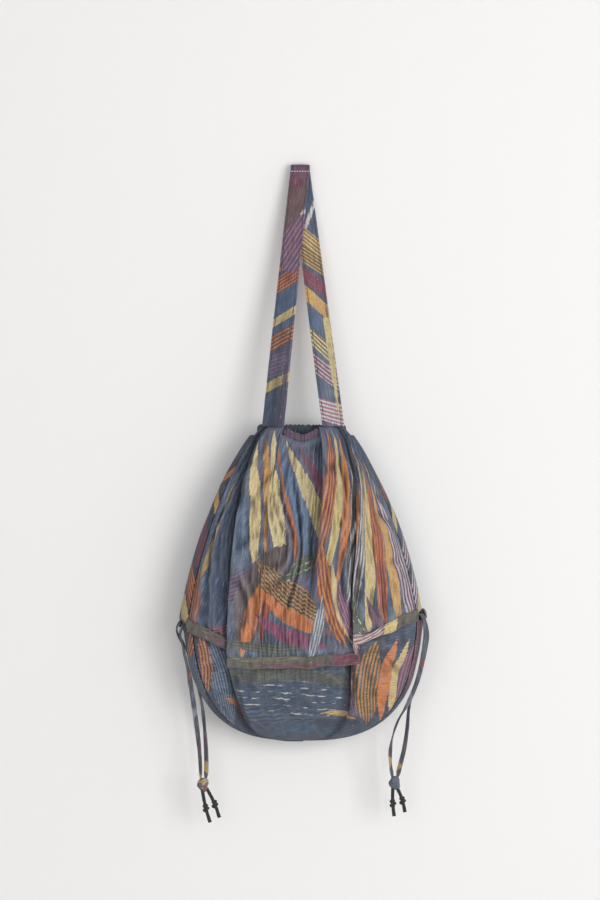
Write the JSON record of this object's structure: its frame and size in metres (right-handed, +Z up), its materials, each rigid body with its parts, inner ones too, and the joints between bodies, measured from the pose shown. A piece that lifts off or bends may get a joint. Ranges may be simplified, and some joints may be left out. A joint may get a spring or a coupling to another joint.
{
  "type": "drawstring shoulder bag",
  "caption": "Slouchy printed-cotton shoulder bag with an elastic gathered mouth, one folded strap, a waist drawstring channel and knotted side ties, hanging by its strap.",
  "frame": {"origin": "underside of the strap's top fold, where a peg or hook carries the bag", "axes": "+Z up, -Y out of the bag's front, +X to the right as seen from the front"},
  "size_m": [0.3295, 0.1212, 0.8583],
  "materials": {
    "printed_cotton": "matte",
    "woven_elastic": "matte",
    "dark_cord": "matte"
  },
  "bodies": {
    "root": {"upper_front_panel": "printed_cotton", "upper_back_panel": "printed_cotton", "lower_front_panel": "printed_cotton", "lower_back_panel": "printed_cotton", "waist_channel_front": "printed_cotton", "waist_channel_back": "printed_cotton", "mouth_casing_front": "printed_cotton", "mouth_casing_back": "printed_cotton", "shoulder_strap": "printed_cotton", "drawstring_front": "printed_cotton", "drawstring_back": "printed_cotton", "tie_left_front": "printed_cotton", "tie_left_back": "printed_cotton", "tie_right_front": "printed_cotton", "tie_right_back": "printed_cotton", "knot_left": "printed_cotton", "knot_right": "printed_cotton", "mouth_elastic_front": "woven_elastic", "mouth_elastic_back": "woven_elastic", "tail_left_front": "dark_cord", "tail_left_back": "dark_cord", "tail_right_front": "dark_cord", "tail_right_back": "dark_cord"}
  },
  "joints": []
}
